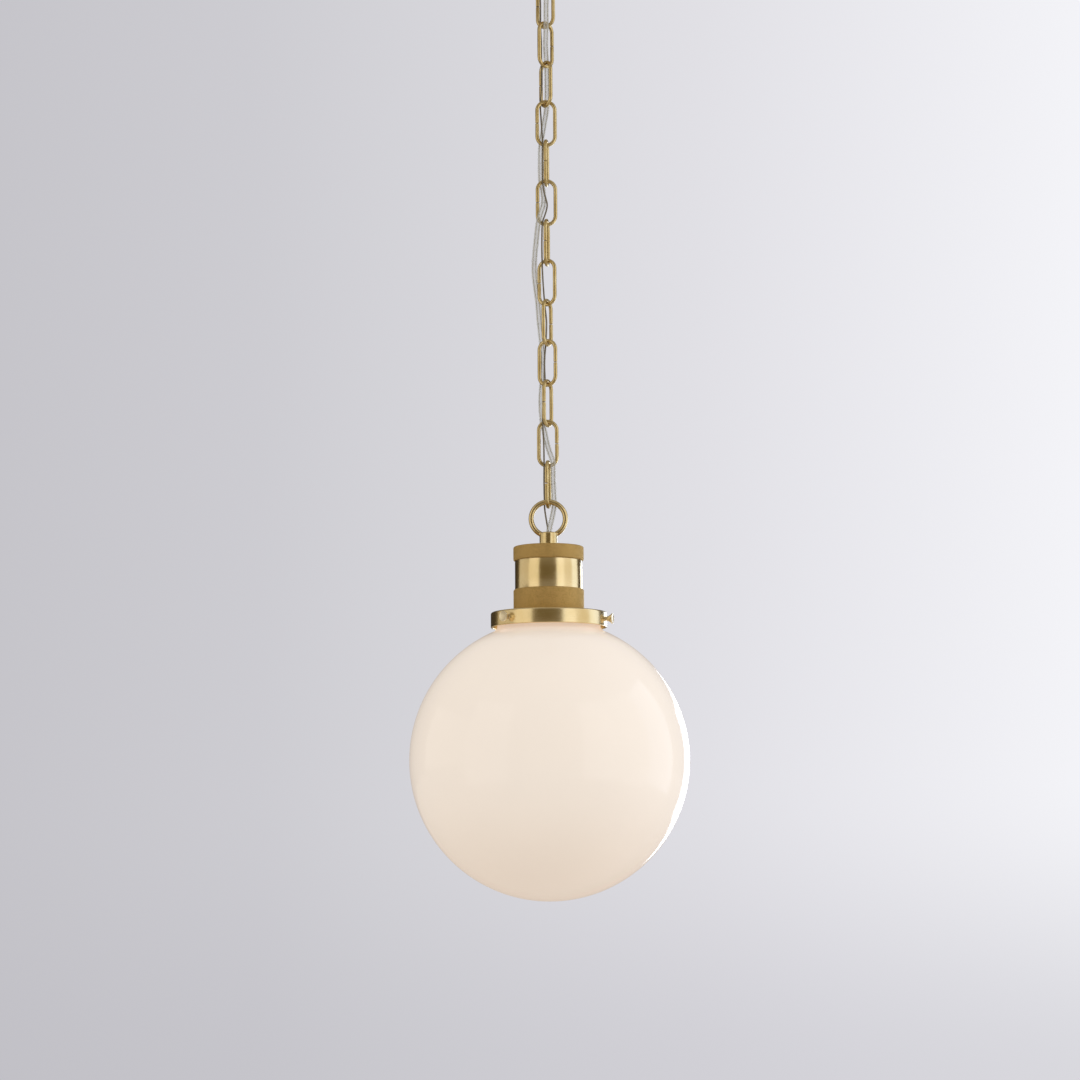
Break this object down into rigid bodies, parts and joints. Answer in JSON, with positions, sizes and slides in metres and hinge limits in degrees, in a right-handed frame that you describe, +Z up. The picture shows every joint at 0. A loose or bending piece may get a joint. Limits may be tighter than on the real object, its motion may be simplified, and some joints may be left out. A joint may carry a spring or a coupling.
{
  "type": "globe pendant light",
  "caption": "Globe pendant light: an opal glass ball held by thumbscrews in a brass ring under a stepped brass cap, hung from a round canopy on an oval-link chain with a laced flex.",
  "frame": {"origin": "on the lamp's axis, in the plane of the ceiling that the canopy's rim lies against", "axes": "+Z up, -Y towards the front, +X to the right of someone who faces the front"},
  "size_m": [0.2538, 0.2538, 0.9137],
  "materials": {
    "satin_brass": "satin, brushed along the wire",
    "polished_brass": "polished, mirror-like",
    "cast_brass": "matte, fine cast grain",
    "steel": "zinc-plated",
    "opal_glass": "opal white, glossy",
    "bulb_glass": "frosted white",
    "phenolic": "dark moulded insulator",
    "clear_plastic": "clear insulation over fine wires",
    "earth_copper": "tinned copper wire, dull",
    "green_paint": "green",
    "connector_plastic": "moulded"
  },
  "bodies": {
    "canopy": {"ceiling_canopy": "cast_brass", "mounting_strap": "steel", "canopy_stud_1": "steel", "canopy_stud_2": "steel", "cap_nut_1": "polished_brass", "cap_nut_2": "polished_brass", "ground_screw": "green_paint", "canopy_washer": "steel", "canopy_lock_nut": "steel", "canopy_pipe": "steel", "canopy_loop": "satin_brass", "supply_lead_1": "clear_plastic", "supply_lead_2": "clear_plastic", "wire_connector_1": "connector_plastic", "wire_connector_2": "connector_plastic", "flex": "clear_plastic", "earth_wire": "earth_copper"},
    "link_01": {"chain_link_01": "satin_brass"},
    "link_02": {"chain_link_02": "satin_brass"},
    "link_03": {"chain_link_03": "satin_brass"},
    "link_04": {"chain_link_04": "satin_brass"},
    "link_05": {"chain_link_05": "satin_brass"},
    "link_06": {"chain_link_06": "satin_brass"},
    "link_07": {"chain_link_07": "satin_brass"},
    "link_08": {"chain_link_08": "satin_brass"},
    "link_09": {"chain_link_09": "satin_brass"},
    "link_10": {"chain_link_10": "satin_brass"},
    "link_11": {"chain_link_11": "satin_brass"},
    "link_12": {"chain_link_12": "satin_brass"},
    "link_13": {"chain_link_13": "satin_brass"},
    "head": {"head_loop": "satin_brass", "top_cap": "cast_brass", "polished_band": "polished_brass", "lower_collar": "cast_brass", "fitter_ring": "polished_brass", "glass_globe": "opal_glass", "head_pipe": "steel", "head_washer": "steel", "head_lock_nut": "steel", "socket_cap": "satin_brass", "socket_body": "phenolic", "terminal_screw_1": "satin_brass", "terminal_screw_2": "satin_brass", "screw_shell": "polished_brass", "centre_contact": "polished_brass"},
    "thumbscrew_1": {"thumbscrew_1": "polished_brass"},
    "thumbscrew_2": {"thumbscrew_2": "polished_brass"},
    "thumbscrew_3": {"thumbscrew_3": "polished_brass"},
    "bulb": {"bulb_contact": "steel", "bulb_insulator": "phenolic", "bulb_base": "steel", "bulb_glass": "bulb_glass", "bulb_stem": "bulb_glass", "filament": "steel"}
  },
  "joints": [
    {"name": "link_01_swing", "type": "hinge", "parent": "canopy", "child": "link_01", "pos_m": [0, 0, -0.06745], "axis": [0.5, 0.866, 0], "range_deg": [-12, 12], "deforming": ["flex", "earth_wire"]},
    {"name": "link_02_swing", "type": "hinge", "parent": "link_01", "child": "link_02", "pos_m": [0, 0, -0.10435], "axis": [0.866, -0.5, 0], "range_deg": [-12, 12], "deforming": ["flex", "earth_wire"]},
    {"name": "link_03_swing", "type": "hinge", "parent": "link_02", "child": "link_03", "pos_m": [0, 0, -0.14195], "axis": [0.7193, 0.6947, 0], "range_deg": [-12, 12], "deforming": ["flex", "earth_wire"]},
    {"name": "link_04_swing", "type": "hinge", "parent": "link_03", "child": "link_04", "pos_m": [0, 0, -0.17955], "axis": [0.5446, -0.8387, 0], "range_deg": [-12, 12], "deforming": ["flex", "earth_wire"]},
    {"name": "link_05_swing", "type": "hinge", "parent": "link_04", "child": "link_05", "pos_m": [0, 0, -0.21715], "axis": [0.9986, 0.0523, 0], "range_deg": [-12, 12], "deforming": ["flex", "earth_wire"]},
    {"name": "link_06_swing", "type": "hinge", "parent": "link_05", "child": "link_06", "pos_m": [0, 0, -0.25475], "axis": [0.1219, 0.9925, 0], "range_deg": [-12, 12], "deforming": ["flex", "earth_wire"]},
    {"name": "link_07_swing", "type": "hinge", "parent": "link_06", "child": "link_07", "pos_m": [0, 0, -0.29235], "axis": [0.9986, 0.0523, 0], "range_deg": [-12, 12], "deforming": ["flex", "earth_wire"]},
    {"name": "link_08_swing", "type": "hinge", "parent": "link_07", "child": "link_08", "pos_m": [0, 0, -0.32995], "axis": [0.1564, 0.9877, 0], "range_deg": [-12, 12], "deforming": ["flex", "earth_wire"]},
    {"name": "link_09_swing", "type": "hinge", "parent": "link_08", "child": "link_09", "pos_m": [0, 0, -0.36755], "axis": [0.866, -0.5, 0], "range_deg": [-12, 12], "deforming": ["flex", "earth_wire"]},
    {"name": "link_10_swing", "type": "hinge", "parent": "link_09", "child": "link_10", "pos_m": [0, 0, -0.40515], "axis": [0.4226, 0.9063, 0], "range_deg": [-12, 12], "deforming": ["flex", "earth_wire"]},
    {"name": "link_11_swing", "type": "hinge", "parent": "link_10", "child": "link_11", "pos_m": [0, 0, -0.44275], "axis": [0.891, -0.454, 0], "range_deg": [-12, 12], "deforming": ["flex", "earth_wire"]},
    {"name": "link_12_swing", "type": "hinge", "parent": "link_11", "child": "link_12", "pos_m": [0, 0, -0.48035], "axis": [0.4067, 0.9135, 0], "range_deg": [-12, 12], "deforming": ["flex", "earth_wire"]},
    {"name": "link_13_swing", "type": "hinge", "parent": "link_12", "child": "link_13", "pos_m": [0, 0, -0.51795], "axis": [1, 0, 0], "range_deg": [-12, 12], "deforming": ["flex", "earth_wire"]},
    {"name": "head_swing", "type": "hinge", "parent": "link_13", "child": "head", "pos_m": [0, 0, -0.55555], "axis": [0.1564, 0.9877, 0], "range_deg": [-12, 12], "deforming": ["flex", "earth_wire"]},
    {"name": "thumbscrew_1_back_out", "type": "slide", "parent": "head", "child": "thumbscrew_1", "axis": [-0.6947, -0.7193, 0], "range_m": [0, 0.005]},
    {"name": "thumbscrew_2_back_out", "type": "slide", "parent": "head", "child": "thumbscrew_2", "axis": [0.9703, -0.2419, 0], "range_m": [0, 0.005]},
    {"name": "thumbscrew_3_back_out", "type": "slide", "parent": "head", "child": "thumbscrew_3", "axis": [-0.2756, 0.9613, 0], "range_m": [0, 0.005]},
    {"name": "bulb_out", "type": "slide", "parent": "head", "child": "bulb", "axis": [0, 0, -1], "range_m": [0, 0.03]}
  ]
}
